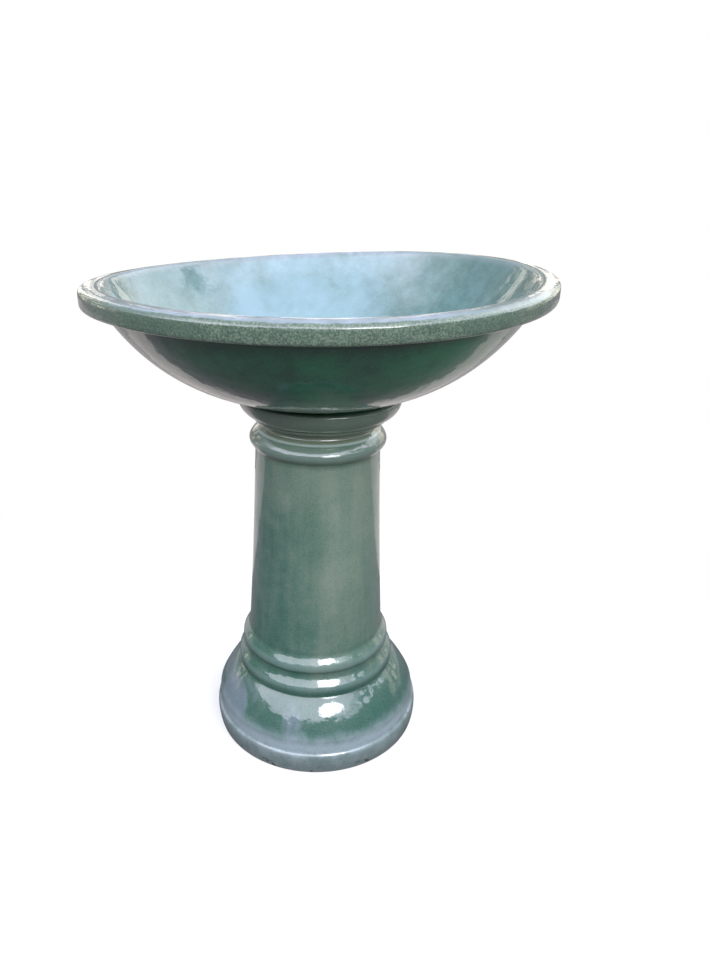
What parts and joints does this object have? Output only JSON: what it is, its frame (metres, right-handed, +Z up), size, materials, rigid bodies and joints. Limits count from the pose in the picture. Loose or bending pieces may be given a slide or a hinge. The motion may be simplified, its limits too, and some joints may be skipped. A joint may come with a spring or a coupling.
{
  "type": "bird bath",
  "caption": "Glazed stoneware bird bath: a wide round bowl with a flat rim band lifts off a hollow turned pedestal with a cupped lip, a beaded neck and a bell-shaped base.",
  "frame": {"origin": "centre of the pedestal's foot, on the ground", "axes": "+Z up along the axis of the pedestal and bowl; +X and +Y level, with no preferred direction because the object is round"},
  "size_m": [0.5199, 0.52, 0.612],
  "materials": {
    "bowl_glaze": "gloss",
    "pedestal_glaze": "gloss",
    "pad_silicone": "satin"
  },
  "bodies": {
    "pedestal": {"pedestal": "pedestal_glaze", "seat_pad_1": "pad_silicone", "seat_pad_2": "pad_silicone", "seat_pad_3": "pad_silicone"},
    "bowl": {"bowl": "bowl_glaze"}
  },
  "joints": [
    {"name": "bowl_lift", "type": "slide", "parent": "pedestal", "child": "bowl", "axis": [0, 0, 1], "range_m": [0, 0.15]}
  ]
}
